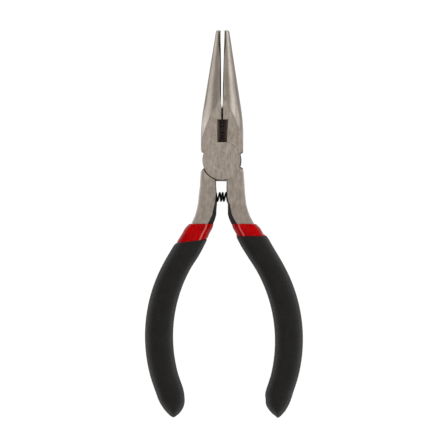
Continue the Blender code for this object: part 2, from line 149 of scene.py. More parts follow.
# Handles: the outer surface's two edges, as pairs of (u, depth below the pivot)
COLLAR_CHORDS = (
    ((10.95, 20.7), (2.95, 20.7)),
    ((12.3, 22.1), (3.4, 22.2)),
    ((13.4, 24.0), (4.5, 24.2)),
)
GRIP_RIM = {LEFT: ((15.35, 27.0), (5.1, 25.8)), RIGHT: ((14.35, 24.6), (4.4, 24.85))}
RIM_TO_BOW_CHORDS = {
    LEFT: (((15.85, 27.5), (6.2, 28.1)), ((16.4, 28.3), (7.95, 31.3))),
    RIGHT: (((15.6, 26.6), (5.95, 28.0)), ((16.5, 28.2), (7.95, 31.3))),
}
OUTER_BOW = {LEFT: (-24.37, 57.95, 50.2), RIGHT: (-24.03, 58.04, 50.03)}
INNER_BOW = {LEFT: (-29.54, 58.04, 46.1), RIGHT: (-30.02, 58.65, 46.79)}
BOW_STEP = 7.16
BOW_STEPS_ABOVE = 4
BOW_STEPS_BELOW = 3
END_CHORDS = {
    LEFT: (
        ((21.5, 78.6), (12.95, 78.2)), ((20.65, 80.2), (13.1, 79.8)), ((19.7, 81.6), (13.65, 81.3)),
        ((18.7, 82.75), (14.65, 82.7)), ((17.75, 83.65), (15.75, 83.65)), ((17.0, 84.1), (16.5, 84.1)),
    ),
    RIGHT: (
        ((21.7, 78.8), (13.5, 78.2)), ((20.95, 80.4), (13.6, 79.8)), ((20.15, 81.8), (14.25, 81.2)),
        ((19.2, 82.95), (15.45, 82.7)), ((18.3, 83.85), (16.7, 83.75)), ((17.7, 84.25), (17.2, 84.25)),
    ),
}
END_HALF_HEIGHTS = (4.6, 4.3, 3.7, 2.8, 1.6, 0.6)
SLEEVE_FACE_DROP = 0.5
GRIP_WALL = (0.3, 0.8)
LAYER_GAP = 0.12
SLEEVE_WALL = 0.32

# Fine detail that only the looks have
EDGE_ROUND = 0.07
EDGE_ROUND_ANGLE = 38
RIVET_EDGE = 0.04
STEEL_SMOOTH_ANGLE = 32
PLASTIC_SMOOTH_ANGLE = 50
FLAT_FACING = 0.96
INWARD_FACING = 0.6
DISC_SEGMENTS = 180
PIN_SEGMENTS = 72
HOLE_SEGMENTS = 48
WIRE_SEGMENTS = 14
STEPS_PER_HALF_TURN = 18
JAW_STEPS = 44
ARM_STEPS = 36
ARM_FLANK = 0.6
ARM_CORNER_RADIUS = 0.18
GRIP_STEPS = 96
CAVITY_STEPS = 16
SLEEVE_STEPS = 40
SKIN_INSET = 0.01
MERGE_DISTANCE = 0.002
STATION_STEP = 0.8
INNER_CHAMFER = {LEFT: (0.40, 0.5), RIGHT: (0.22, 0.3)}
TIP_BEVEL = 0.28
TIP_BEVEL_START = 34.0
SERRATION_PITCH = 0.65
SERRATION_START_Y = 42.2
SERRATION_COUNT = 8
SERRATION_DEPTH = {LEFT: 0.2, RIGHT: 0.18}

# Stage
FLOOR_SIZE = 1.2
FLOOR_DROP = 0.00003
CAMERA_HEIGHT = 0.65
CAMERA_CENTRE = (0.49, -20.6)
VIEW_WIDTH = 146.5


def mix(a, b, t):
    return a + (b - a) * t


def smooth(t):
    t = min(max(t, 0.0), 1.0)
    return t * t * (3 - 2 * t)


def read_line(stations, at):
    """Value at one place along a line given by (place, value) points."""
    value = stations[0][1]
    for (start, a), (end, b) in zip(stations, stations[1:]):
        if at > start:
            value = mix(a, b, (at - start) / (end - start))
    return value


def place(u, y, z, side, turn):
    """A point given outwards, along and up, put on its side and turned about the pivot."""
    angle = math.radians(turn)
    x = side * u
    return Vector((
        (x * math.cos(angle) - y * math.sin(angle)) * MM,
        (x * math.sin(angle) + y * math.cos(angle)) * MM,
        z * MM,
    ))


def lean(u, depth, z, side):
    """A point of an arm or handle, given outwards, down from the pivot and up from mid-thickness."""
    return Vector((side * u + HANDLE_LEAN * depth, -depth, MID_Z + z)) * MM


# Mesh helpers

def finish_solid(bm):
    bmesh.ops.remove_doubles(bm, verts=bm.verts, dist=MERGE_DISTANCE * MM)
    bmesh.ops.recalc_face_normals(bm, faces=bm.faces)


def join(bm, loops):
    """Quads between loops of the same number of vertices."""
    count = len(loops[0])
    for lower, upper in zip(loops, loops[1:]):
        for i in range(count):
            j = (i + 1) % count
            bm.faces.new((lower[i], lower[j], upper[j], upper[i]))


def skin(bm, rings):
    """Quads between rings of points. Returns the rings' vertices."""
    loops = [[bm.verts.new(point) for point in ring] for ring in rings]
    join(bm, loops)
    return loops


def close_fan(bm, loop):
    """Closes a loop with triangles round its middle, so that a bent loop stays clean."""
    middle = sum((vert.co for vert in loop), Vector()) / len(loop)
    centre = bm.verts.new(middle)
    for i, vert in enumerate(loop):
        bm.faces.new((vert, loop[(i + 1) % len(loop)], centre))


def loft(rings):
    """One closed mesh through the rings, closed at each end."""
    bm = bmesh.new()
    loops = skin(bm, rings)
    for loop in (loops[0], loops[-1]):
        close_fan(bm, loop)
    finish_solid(bm)
    return bm


def sock(outside, inside, lip):
    """An outer and an inner skin joined round a rounded lip, each closed at its far end."""
    bm = bmesh.new()
    outer = skin(bm, outside)
    inner = skin(bm, inside)
    bm.faces.new(outer[-1])
    bm.faces.new(inner[-1])
    rounded_lip = [[bm.verts.new(point) for point in ring] for ring in lip]
    join(bm, [outer[0]] + rounded_lip + [inner[0]])
    finish_solid(bm)
    return bm


def cylinder(radius, low, high, segments, matrix=Matrix()):
    bm = bmesh.new()
    centre = Matrix.Translation((0, 0, (low + high) / 2 * MM))
    bmesh.ops.create_cone(
        bm, cap_ends=True, segments=segments, radius1=radius * MM, radius2=radius * MM,
        depth=(high - low) * MM, matrix=matrix @ centre,
    )
    return bm


def block(low, high):
    bm = bmesh.new()
    bmesh.ops.create_cube(bm, size=1.0)
    for vert in bm.verts:
        vert.co = Vector([mix(a, b, c + 0.5) * MM for a, b, c in zip(low, high, vert.co)])
    return bm


def add(name, bm):
    mesh = bpy.data.meshes.new(name)
    bm.to_mesh(mesh)
    bm.free()
    made = bpy.data.objects.new(name, mesh)
    bpy.context.scene.collection.objects.link(made)
    return made


def combine(target, tool, operation):
    step = target.modifiers.new(tool.name, "BOOLEAN")
    step.operation = operation
    step.solver = "EXACT"
    step.object = tool
    tool.hide_render = True
    return tool


def bake_modifiers(obj, tools):
    """Turns the object's evaluated shape into its mesh and removes the shapes that cut it."""
    bpy.context.view_layer.update()
    evaluated = obj.evaluated_get(bpy.context.evaluated_depsgraph_get())
    mesh = bpy.data.meshes.new_from_object(evaluated)
    obj.modifiers.clear()
    obj.data = mesh
    for tool in tools:
        bpy.data.objects.remove(tool, do_unlink=True)


def round_edges(obj, width, degrees=30):
    edge = obj.modifiers.new("edge", "BEVEL")
    edge.width = width * MM
    edge.segments = 2
    edge.limit_method = "ANGLE"
    edge.angle_limit = math.radians(degrees)


def shade(obj, degrees):
    obj.data.shade_smooth()
    obj.data.set_sharp_from_angle(angle=math.radians(degrees))


def settle_normals(obj, degrees):
    """Smooth shading that keeps large flat faces flat, with a crisp line where the finish changes."""
    shade(obj, degrees)
    bm = bmesh.new()
    bm.from_mesh(obj.data)
    for edge in bm.edges:
        finishes = {face.material_index for face in edge.link_faces}
        if len(finishes) > 1:
            edge.smooth = False
    bm.to_mesh(obj.data)
    bm.free()
    weighted = obj.modifiers.new("weighted", "WEIGHTED_NORMAL")
    weighted.keep_sharp = True
    weighted.weight = 100
    bake_modifiers(obj, [])


def show(obj, body, node):
    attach(obj, body)
    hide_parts(node)
    return obj


# Materials

class Nodes:
    """A short way to write a node material."""

    def __init__(self, name):
        self.material = bpy.data.materials.new(name)
        self.material.use_nodes = True
        self.tree = self.material.node_tree
        self.shader = self.tree.nodes["Principled BSDF"]
        self.coordinates = self.tree.nodes.new("ShaderNodeTexCoord")
        self.position = self.coordinates.outputs["Object"]

    def set(self, **values):
        for name, value in values.items():
            self.shader.inputs[name.replace("_", " ")].default_value = value

    def link(self, source, name):
        self.tree.links.new(source, self.shader.inputs[name])

    def maths(self, operation, *sources):
        node = self.tree.nodes.new("ShaderNodeMath")
        node.operation = operation
        for source, socket in zip(sources, node.inputs):
            self.tree.links.new(source, socket)
        return node.outputs[0]

    def facing_up(self):
        """How far the surface faces up or down in the object: 0 at its sides, 1 on its flats."""
        return self.maths("ABSOLUTE", self.tilt("Z"))

    def part_of(self, vector, axis):
        split = self.tree.nodes.new("ShaderNodeSeparateXYZ")
        self.tree.links.new(vector, split.inputs[0])
        return split.outputs[axis]

    def tilt(self, axis):
        """One component of the surface's direction in the object's own axes."""
        return self.part_of(self.coordinates.outputs["Normal"], axis)

    def along(self, axis):
        """The object's own coordinate along one axis, in metres."""
        return self.part_of(self.position, axis)

    def product(self, a, b):
        return self.maths("MULTIPLY", a, b)

    def mapped(self, scale, turn=0.0):
        node = self.tree.nodes.new("ShaderNodeMapping")
        node.inputs["Scale"].default_value = scale
        node.inputs["Rotation"].default_value = (0, 0, math.radians(turn))
        self.tree.links.new(self.position, node.inputs["Vector"])
        return node.outputs["Vector"]

    def noise(self, scale, detail=4.0, roughness=0.55, stretch=(1, 1, 1), turn=0.0):
        node = self.tree.nodes.new("ShaderNodeTexNoise")
        node.inputs["Scale"].default_value = scale
        node.inputs["Detail"].default_value = detail
        node.inputs["Roughness"].default_value = roughness
        self.tree.links.new(self.mapped(stretch, turn), node.inputs["Vector"])
        return node.outputs["Fac"]

    def cells(self, scale, stretch=(1, 1, 1)):
        node = self.tree.nodes.new("ShaderNodeTexVoronoi")
        node.inputs["Scale"].default_value = scale
        self.tree.links.new(self.mapped(stretch), node.inputs["Vector"])
        return node.outputs["Distance"]

    def ramp(self, source, *stops):
        node = self.tree.nodes.new("ShaderNodeValToRGB")
        ramp = node.color_ramp
        while len(ramp.elements) < len(stops):
            ramp.elements.new(0.5)
        for element, (place_at, colour) in zip(ramp.elements, stops):
            element.position = place_at
            element.color = (*colour, 1.0)
        self.tree.links.new(source, node.inputs["Fac"])
        return node.outputs["Color"]

    def spread(self, source, low, high, from_low=0.3, from_high=0.7):
        node = self.tree.nodes.new("ShaderNodeMapRange")
        node.inputs["From Min"].default_value = from_low
        node.inputs["From Max"].default_value = from_high
        node.inputs["To Min"].default_value = low
        node.inputs["To Max"].default_value = high
        self.tree.links.new(source, node.inputs["Value"])
        return node.outputs["Result"]

    def blend(self, factor, a, b, mode="MIX"):
        node = self.tree.nodes.new("ShaderNodeMix")
        node.data_type = "RGBA"
        node.blend_type = mode
        for socket, value in ((0, factor), (6, a), (7, b)):
            if isinstance(value, bpy.types.NodeSocket):
                self.tree.links.new(value, node.inputs[socket])
            else:
                node.inputs[socket].default_value = value
        return node.outputs[2]

    def sum(self, a, b, weight):
        node = self.tree.nodes.new("ShaderNodeMath")
        node.operation = "MULTIPLY_ADD"
        self.tree.links.new(b, node.inputs[0])
        node.inputs[1].default_value = weight
        self.tree.links.new(a, node.inputs[2])
        return node.outputs[0]

    def bump(self, height, distance, strength=1.0):
        node = self.tree.nodes.new("ShaderNodeBump")
        node.inputs["Distance"].default_value = distance
        node.inputs["Strength"].default_value = strength
        self.tree.links.new(height, node.inputs["Height"])
        self.link(node.outputs["Normal"], "Normal")


def ground_steel():
    """Flat faces, belt-ground along the pliers: short soft streaks and a faint mottle."""
    m = Nodes("ground_steel")
    streaks = m.noise(1100, 5, 0.68, (1.0, 0.38, 1.0))
    fine = m.noise(5200, 3, 0.6, (1.0, 0.05, 1.0))
    mottle = m.noise(330, 3, 0.5, (1.0, 0.55, 1.0))
    colour = m.ramp(streaks, (0.34, (0.42, 0.375, 0.33)), (0.66, (0.645, 0.588, 0.525)))
    warm = m.ramp(mottle, (0.35, (0.93, 0.90, 0.88)), (0.65, (1.0, 1.0, 1.0)))
    m.link(m.blend(1.0, colour, warm, "MULTIPLY"), "Base Color")
    m.link(m.spread(fine, 0.36, 0.52), "Roughness")
    m.bump(m.sum(streaks, fine, 0.5), 0.00002, 0.35)
    m.set(Metallic=0.95)
    return m.material


def nose_steel():
    """Turned and polished outside of the jaws: fine lengthwise lines, with painted shade darkening the
    colour down the flanks, lifted at the left jaw's root and deepened along the right jaw.
    """
    m = Nodes("nose_steel")
    lines = m.noise(2600, 4, 0.6, (1.0, 0.06, 1.0))
    mottle = m.noise(420, 4, 0.55, (1.0, 0.35, 1.0))
    colour = m.ramp(mottle, (0.3, (0.50, 0.44, 0.385)), (0.7, (0.63, 0.575, 0.515)))
    # Painted shade: the flanks' darkening is keyed to how far the surface faces up, plus a painted
    # lift on the left jaw's root and extra painted shade along the right jaw past its root.
    x, y = m.along("X"), m.along("Y")
    left = m.spread(x, 1.0, 0.0, -0.0005, 0.0005)
    left_root = m.spread(y, 0.3, 0.0, 0.0120, 0.0185)
    right = m.spread(x, 0.0, 1.0, -0.0005, 0.0005)
    right_root = m.spread(y, 0.04, -0.11, 0.0125, 0.0185)
    painted_shade_key = m.sum(m.facing_up(), m.product(left, left_root), 1.0)
    painted_shade_key = m.sum(painted_shade_key, m.product(right, right_root), 1.0)
    # The ramp turns that key into painted shade: darkest on the side-facing flanks, none on the faces
    # that look up.
    flank = m.ramp(
        painted_shade_key, (0.49, (0.37, 0.355, 0.35)), (0.60, (0.76, 0.75, 0.74)), (0.84, (1.0, 1.0, 1.0)),
    )
    m.link(m.blend(1.0, colour, flank, "MULTIPLY"), "Base Color")
    m.link(m.spread(lines, 0.26, 0.40), "Roughness")
    m.bump(lines, 0.00001, 0.3)
    m.set(Metallic=0.95)
    return m.material


def forge_scale_and_gap_shade():
    """Black scale left by forging on the sides of the arms and inside the cutter; the same dark colour
    is also laid as painted shade on faces inside the lap joint, where the gap would be in shade.
    """
    m = Nodes("forge_scale_and_gap_shade")
    grain = m.noise(1800, 6, 0.65)
    patches = m.noise(380, 3, 0.6)
    colour = m.ramp(patches, (0.35, (0.005, 0.004, 0.0035)), (0.75, (0.014, 0.012, 0.010)))
    m.link(colour, "Base Color")
    m.link(m.spread(grain, 0.50, 0.75), "Roughness")
    m.bump(grain, 0.00004, 0.5)
    m.set(Specular_IOR_Level=0.15)
    return m.material


def jaw_face_steel():
    """Inner gripping faces: milled, duller than the outside, with painted shade in the roots between
    the teeth.
    """
    m = Nodes("jaw_face_steel")
    lines = m.noise(2400, 4, 0.6, (1.0, 1.0, 0.08))
    colour = m.ramp(lines, (0.3, (0.30, 0.26, 0.215)), (0.7, (0.48, 0.42, 0.355)))
    low = (SERRATION_START_Y - SERRATION_COUNT * SERRATION_PITCH) * MM
    count = m.spread(m.along("Y"), 0.0, SERRATION_COUNT, low, SERRATION_START_Y * MM)
    # Painted shade: a dark band in each root between the teeth, repeating at the tooth pitch over the
    # serrated length.
    tooth_root_shade = m.ramp(
        m.maths("FRACT", count),
        (0.06, (1, 1, 1)), (0.22, (0.35, 0.35, 0.33)), (0.42, (0.35, 0.35, 0.33)), (0.60, (1, 1, 1)),
    )
    m.link(m.blend(1.0, colour, tooth_root_shade, "MULTIPLY"), "Base Color")
    m.link(m.spread(lines, 0.40, 0.58), "Roughness")
    m.bump(lines, 0.00002, 0.4)
    m.set(Metallic=0.9)
    return m.material


def cutter_steel():
    """The cutter's bevels: hardened, brown-black, with painted shade that turns them near-black beside
    the edge where they meet.
    """
    m = Nodes("cutter_steel")
    marks = m.noise(2000, 4, 0.6, (1.0, 0.15, 1.0))
    rust = m.noise(700, 4, 0.65, (1.0, 0.5, 1.0))
    colour = m.ramp(marks, (0.3, (0.16, 0.137, 0.12)), (0.7, (0.30, 0.265, 0.235)))
    tint = m.ramp(rust, (0.45, (1.0, 1.0, 1.0)), (0.70, (1.2, 0.85, 0.66)))
    shaded = m.blend(1.0, colour, tint, "MULTIPLY")
    # Painted shade: near-black within about a third of a millimetre of the middle plane, in the slit
    # between the two cutting edges.
    x = m.along("X")
    slit_shade = m.spread(m.product(x, x), 0.0, 1.0, 0.0, 0.12e-6)
    m.link(m.blend(slit_shade, (0.006, 0.005, 0.004, 1), shaded), "Base Color")
    m.link(m.spread(marks, 0.5, 0.68), "Roughness")
    m.bump(marks, 0.00003, 0.4)
    m.set(Metallic=0.2)
    return m.material


def red_plastic():
    """Glossy dipped plastic, with painted shade on its steeper bevels and a painted highlight, a pale
    streak, along the ridge of its inner side.
    """
    m = Nodes("red_plastic")
    waves = m.noise(260, 2, 0.4)
    specks = m.noise(2600, 3, 0.6)
    colour = m.ramp(waves, (0.3, (0.66, 0.0016, 0.003)), (0.7, (0.90, 0.0022, 0.004)))
    # Painted shade: the red darkens to half on the bevels as they turn away from facing up.
    steep = m.ramp(m.facing_up(), (0.30, (0.50, 0.50, 0.50)), (0.88, (1.0, 1.0, 1.0)))
    colour = m.blend(1.0, colour, steep, "MULTIPLY")
    # Painted highlight: a pale streak where the inner side's surface turns a little towards the middle
    # of the pliers, along its ridge.
    inward = m.product(m.maths("SIGN", m.along("X")), m.tilt("X"))
    painted_ridge_highlight = m.ramp(
        m.spread(inward, 0.0, 1.0, 0.0, -1.0),
        (0.24, (0, 0, 0)), (0.36, (0.9, 0.9, 0.9)), (0.42, (0.9, 0.9, 0.9)), (0.54, (0, 0, 0)),
    )
    m.link(m.blend(painted_ridge_highlight, colour, (1.0, 0.30, 0.27, 1)), "Base Color")
    m.link(m.spread(specks, 0.07, 0.13), "Roughness")
    m.bump(waves, 0.00010, 0.15)
    m.set(IOR=1.30, Specular_IOR_Level=0.08)
    return m.material


def black_plastic():
    """Matte dipped plastic with a fine foamed skin."""
    m = Nodes("black_plastic")
    pores = m.noise(1500, 5, 0.75)
    cloud = m.noise(300, 4, 0.6)
    grain = m.cells(3000)
    colour = m.ramp(cloud, (0.3, (0.0095, 0.0095, 0.0090)), (0.7, (0.0175, 0.0175, 0.0166)))
    speck = m.ramp(pores, (0.40, (0.55, 0.55, 0.55)), (0.60, (1.45, 1.45, 1.45)))
    m.link(m.blend(1.0, colour, speck, "MULTIPLY"), "Base Color")
    m.link(m.spread(pores, 0.58, 0.82), "Roughness")
    m.bump(m.sum(pores, grain, 0.4), 0.00016, 0.7)
    m.set(IOR=1.45)
    return m.material


def spring_wire():
    """Blackened wire with a dull sheen."""
    m = Nodes("spring_wire")
    marks = m.noise(1500, 4, 0.6)
    colour = m.ramp(marks, (0.35, (0.008, 0.008, 0.008)), (0.75, (0.022, 0.021, 0.020)))
    m.link(colour, "Base Color")
    m.link(m.spread(marks, 0.34, 0.52), "Roughness")
    m.bump(marks, 0.00002, 0.3)
    m.set(Metallic=0.5)
    return m.material


# The scale finish is real forging scale on the arms' sides and painted shade inside the lap joint.
GROUND, NOSE, SCALE_AND_GAP_SHADE, JAW_FACE, CUTTER = range(5)
STEEL_SET = [ground_steel(), nose_steel(), forge_scale_and_gap_shade(), jaw_face_steel(), cutter_steel()]
RED = red_plastic()
BLACK = black_plastic()
WIRE = spring_wire()


# Jaws

def jaw_width(y):
    """Half-breadth of a jaw: straight at the root, then a parabola into a straight taper."""
    if y <= TAPER_START_Y:
        return JAW_WIDTH
    blend = TAPER_FULL_Y - TAPER_START_Y
    run = y - TAPER_START_Y
    if run < blend:
        return JAW_WIDTH - JAW_TAPER * run * run / (2 * blend)
    return JAW_WIDTH - JAW_TAPER * (run - blend / 2)


def face_distance(side, y):
    """Distance of a jaw's inner face from its own turned axis."""
    angle = math.radians(abs(JAW_TURN[side]))
    return (read_line(FACE_LINE[side], y) - y * math.sin(angle)) / math.cos(angle)


def jaw_ring(side, y, width, inset, cut):
    """Half of an ellipse beside the inner face, with its two inner corners taken off steeply."""
    if y >= FACE_APEX_Y:
        along = (y - FACE_APEX_Y) / (JAW_TIP_Y - FACE_APEX_Y)
        height = mix(MID_Z, TIP_HALF_HEIGHT, along)
    else:
        share = min((FACE_APEX_Y - y) / (FACE_APEX_Y - FACE_FOOT_Y), FACE_SHARE_LIMIT)
        height = MID_Z / math.sqrt(1 - share)
    fade = smooth((y - 18.6) / 4.0)
    chamfer, drop = (value * fade for value in INNER_CHAMFER[side])
    chamfer += TIP_BEVEL * smooth((y - TIP_BEVEL_START) / 3.0)
    width, height = width - inset, height - inset
    face = face_distance(side, y) + cut
    start = math.acos((max(face, 0.0) + chamfer + 0.02) / width)
    arc = []
    for i in range(JAW_STEPS + 1):
        angle = mix(start, -start, i / JAW_STEPS)
        arc.append((width * math.cos(angle), height * math.sin(angle)))
    corner = arc[0][1] - drop * height
    ring = [(face, corner)] + arc + [(face, -corner)]
    fade = (ROOT_SETBACK_START - y) / (ROOT_SETBACK_START - JAW_ROOT[side][-1][0])
    setback = ROOT_SETBACK[side] * min(max(fade, 0.0), 1.0)
    return [(u, y + setback * min(abs(z) / MID_Z, 1.0) ** 2, z) for u, z in ring]


def jaw_stations(side):
    """(y, half-breadth, inset, cut into the inner face) from the tip to the root."""
    found = []
    for drop, inset in ((0.0, 0.32), (0.06, 0.17), (0.18, 0.05), (0.34, 0.0)):
        found.append((JAW_TIP_Y - drop, jaw_width(JAW_TIP_Y - drop), inset, 0.0))
    for tooth in range(SERRATION_COUNT):
        top = SERRATION_START_Y - tooth * SERRATION_PITCH
        share = 1.0 if tooth < SERRATION_COUNT - 2 else 0.75
        depth = SERRATION_DEPTH[side] * share
        for along, cut in ((0.0, 0.0), (0.36, 0.0), (0.58, depth), (0.76, depth)):
            y = top - along * SERRATION_PITCH
            found.append((y, jaw_width(y), 0.0, cut))
    y = SERRATION_START_Y - SERRATION_COUNT * SERRATION_PITCH
    kinks = sorted((start for start, _ in FACE_LINE[side]), reverse=True)
    root = JAW_ROOT[side]
    while y > root[0][0] + STATION_STEP / 2:
        found.append((y, jaw_width(y), 0.0, 0.0))
        following = y - STATION_STEP
        passed = [kink for kink in kinks if following + 0.2 < kink < y - 0.2]
        y = passed[0] if passed else following
    return found + [(y, width, 0.0, 0.0) for y, width in root]


def jaw(side):
    turn = JAW_TURN[side]
    rings = []
    for y, width, inset, cut in jaw_stations(side):
        ring = jaw_ring(side, y, width, inset, cut)
        rings.append([place(u, along, MID_Z + z, side, turn) for u, along, z in ring])
    return loft(rings)


def cutter_prisms(side, low_end, high_end):
    """A solid between two ends, each (y, outline of (u, height)), above and below the middle."""
    return [
        loft([
            [place(u, y, MID_Z + up * z, side, 0.0) for u, z in outline]
            for y, outline in (low_end, high_end)
        ])
        for up in (1, -1)
    ]


def bevel_outline(half_width):
    """From the cutting edge at mid-thickness out to the window's edge on the flat face."""
    top = MID_Z + CUT_MARGIN
    reach = CUTTER_EDGE + (half_width - CUTTER_EDGE) * top / MID_Z
    return ((-1.0, EDGE_LAND), (CUTTER_EDGE, EDGE_LAND), (reach, top), (-1.0, top))


def cutter_shapes(side):
    """The window's bevels meet at an edge at mid-thickness, and a narrow groove runs on above it."""
    top = MID_Z + CUT_MARGIN
    half = GROOVE_HALF_WIDTH[side]
    groove = ((-0.8, GROOVE_FLOOR), (half, GROOVE_FLOOR), (half, top), (-0.8, top))
    bevels = cutter_prisms(
        side,
        (WINDOW_BOTTOM_Y - 1.0, bevel_outline(WINDOW_BOTTOM_HALF[side])),
        (WINDOW_TOP_Y, bevel_outline(WINDOW_TOP_HALF[side])),
    )
    grooves = cutter_prisms(side, (WINDOW_TOP_Y - 0.7, groove), (GROOVE_TOP_Y, groove))
    return bevels + grooves


# Arms and handles

def rounded(corners, radius, steps):
    """A closed outline with every corner drawn as a short curve."""
    points = []
    count = len(corners)
    for i, corner in enumerate(corners):
        before = Vector(corners[i - 1])
        here = Vector(corner)
        after = Vector(corners[(i + 1) % count])
        start = here + (before - here) * min(radius / max((before - here).length, 1e-6), 0.48)
        end = here + (after - here) * min(radius / max((after - here).length, 1e-6), 0.48)
        for j in range(steps):
            t = j / (steps - 1)
            points.append(start * (1 - t) ** 2 + here * (2 * t * (1 - t)) + end * t * t)
    return points


def arm_ring(side, depth, outer):
    """Forged section: ground flat front and back, widest at mid-thickness, its end drafted."""
    inner = read_line(ARM_INNER[side], depth)
    slope = FACE_EDGE_SLOPE[side] * max(0.0, depth - FACE_EDGE_START[side])
    face_inner = inner + FACE_EDGE_INSET + slope
    face_outer = outer - EDGE_DRAFT
    height = mix(ARM_START_HALF_HEIGHT, ARM_END_HALF_HEIGHT, depth / COLLAR_CHORDS[0][0][1])
    corners = (
        (outer, ARM_FLANK), (face_outer, height), (face_inner, height), (inner, ARM_FLANK),
        (inner, -ARM_FLANK), (face_inner, -height), (face_outer, -height), (outer, -ARM_FLANK),
    )
    start = ARM_SHOULDER[side][0][0]
    fade = (SHOULDER_SETBACK_END - depth) / (SHOULDER_SETBACK_END - start)
    setback = SHOULDER_SETBACK[side] * min(max(fade, 0.0), 1.0)
    ring = []
    for p in rounded(corners, ARM_CORNER_RADIUS, 4):
        ring.append((p.x, depth + setback * min(abs(p.y) / MID_Z, 1.0), p.y))
    return ring


def arm(side):
    """The visible arm, ending inside the sleeve."""
    shoulder = ARM_SHOULDER[side]
    rings = [arm_ring(side, depth, outer) for depth, outer in shoulder]
    depth = shoulder[-1][0]
    last = COLLAR_CHORDS[0][0][1] + 0.1
    for i in range(1, ARM_STEPS + 1):
        at = mix(depth, last, i / ARM_STEPS)
        rings.append(arm_ring(side, at, read_line(ARM_OUTER[side], at)))
    return loft([[lean(u, d, z, side) for u, d, z in ring] for ring in rings])


def handle_points(side):
    """Lines across the handle, from its outer edge to its inner edge, and the half-height there."""
    chords = list(COLLAR_CHORDS) + [GRIP_RIM[side]] + list(RIM_TO_BOW_CHORDS[side])
    for i in range(-BOW_STEPS_ABOVE, BOW_STEPS_BELOW + 1):
        angle = math.radians(i * BOW_STEP)
        chords.append(tuple(
            (u + radius * math.cos(angle), depth + radius * math.sin(angle))
            for u, depth, radius in (OUTER_BOW[side], INNER_BOW[side])
        ))
    heights = [MID_Z] * len(chords) + list(END_HALF_HEIGHTS)
    return chords + list(END_CHORDS[side]), heights


def spline(values, s):
    """Smooth value at s through evenly numbered values."""
    i = min(max(int(math.floor(s)), 0), len(values) - 2)
    t = s - i
    p0, p3 = values[max(i - 1, 0)], values[min(i + 2, len(values) - 1)]
    p1, p2 = values[i], values[i + 1]
    return 0.5 * (
        2 * p1 + (p2 - p0) * t + (2 * p0 - 5 * p1 + 4 * p2 - p3) * t * t
        + (3 * p1 - p0 - 3 * p2 + p3) * t * t * t
    )


def handle_at(side, s):
    """(outer u, outer depth, inner u, inner depth, half-height) at chord number s."""
    chords, heights = handle_points(side)
    columns = [
        [c[0][0] for c in chords], [c[0][1] for c in chords],
        [c[1][0] for c in chords], [c[1][1] for c in chords], heights,
    ]
    found = [spline(column, s) for column in columns]
    found[4] = min(found[4], MID_Z)
    return found


RIM_INDEX = len(COLLAR_CHORDS)
BOW_START_INDEX = RIM_INDEX + 3
TANG_END_INDEX = BOW_START_INDEX + BOW_STEPS_ABOVE + BOW_STEPS_BELOW
LAST_INDEX = TANG_END_INDEX + len(END_HALF_HEIGHTS)


def handle_ring(side, s, inset, drop, ridges, radius):
    """A bevelled, rounded section across the handle. ridges are the side bevels' widths."""
    outer_u, outer_depth, inner_u, inner_depth, height = handle_at(side, s)
    centre = Vector(((outer_u + inner_u) / 2, (outer_depth + inner_depth) / 2))
    reach = Vector((outer_u, outer_depth)) - centre
    half = reach.length
    across = reach / half
    half, height = half - inset, height - drop
    outer_ridge, inner_ridge = (min(r, half * 0.85) for r in ridges)
    flank = height * 0.22
    corners = (
        (half, flank), (half - outer_ridge, height), (-half + inner_ridge, height), (-half, flank),
        (-half, -flank), (-half + inner_ridge, -height), (half - outer_ridge, -height),
        (half, -flank),
    )
    ring = []
    for p in rounded(corners, radius, 7):
        spot = centre + across * p.x
        ring.append(lean(spot.x, spot.y, p.y, side))
    return ring


def grip_wall(s):
    """The black layer is thin at its rim and has its full wall along the bow."""
    share = min(max((s - RIM_INDEX) / 2, 0.0), 1.0)
    return mix(GRIP_WALL[0], GRIP_WALL[1], share)


def section_style(s):
    """Widths of the side bevels and the corner rounding at chord number s."""
    down = smooth((s - 1.0) / 4.0)
    ridges = (mix(1.3, 1.7, down), mix(1.75, 1.7, down))
    return ridges, mix(1.5, 2.4, down)


def grip(side):
    outside, inside = [], []
    for i in range(GRIP_STEPS + 1):
        s = mix(RIM_INDEX + 0.06, LAST_INDEX, i / GRIP_STEPS)
        ridges, radius = section_style(s)
        outside.append(handle_ring(side, s, SKIN_INSET, SKIN_INSET, ridges, radius))
    lip = []
    for along, inset in ((0.03, 0.03), (0.0, 0.12)):
        ridges, radius = section_style(RIM_INDEX)
        lip.append(handle_ring(side, RIM_INDEX + along, inset, inset, ridges, radius))
    for i in range(CAVITY_STEPS + 1):
        s = mix(RIM_INDEX + 0.03, TANG_END_INDEX, i / CAVITY_STEPS)
        ridges, radius = section_style(s)
        wall = grip_wall(s)
        inside.append(handle_ring(side, s, wall, wall, ridges, radius))
    return sock(outside, inside, lip)


def sleeve(side):
    outside, inside = [], []
    wall = SLEEVE_WALL
    last = TANG_END_INDEX - 1
    for i in range(SLEEVE_STEPS + 1):
        s = mix(0.06, last, (i / SLEEVE_STEPS) ** 1.6)
        under = smooth((s - (RIM_INDEX - 0.35)) / 0.5)
        inset = under * (grip_wall(s) + LAYER_GAP)
        drop = mix(SLEEVE_FACE_DROP, max(inset, SLEEVE_FACE_DROP), under)
        ridges, radius = section_style(s)
        outside.append(handle_ring(side, s, inset, drop, ridges, radius))
        if i < SLEEVE_STEPS - 1:
            inside.append(handle_ring(side, s, inset + wall, drop + wall, ridges, radius * 0.8))
    ridges, radius = section_style(0.0)
    lip = [
        handle_ring(side, 0.02, 0.05, SLEEVE_FACE_DROP + 0.05, ridges, radius),
        handle_ring(side, 0.0, 0.18, SLEEVE_FACE_DROP + 0.18, ridges, radius),
    ]
    return sock(outside, inside, lip)


# Levers

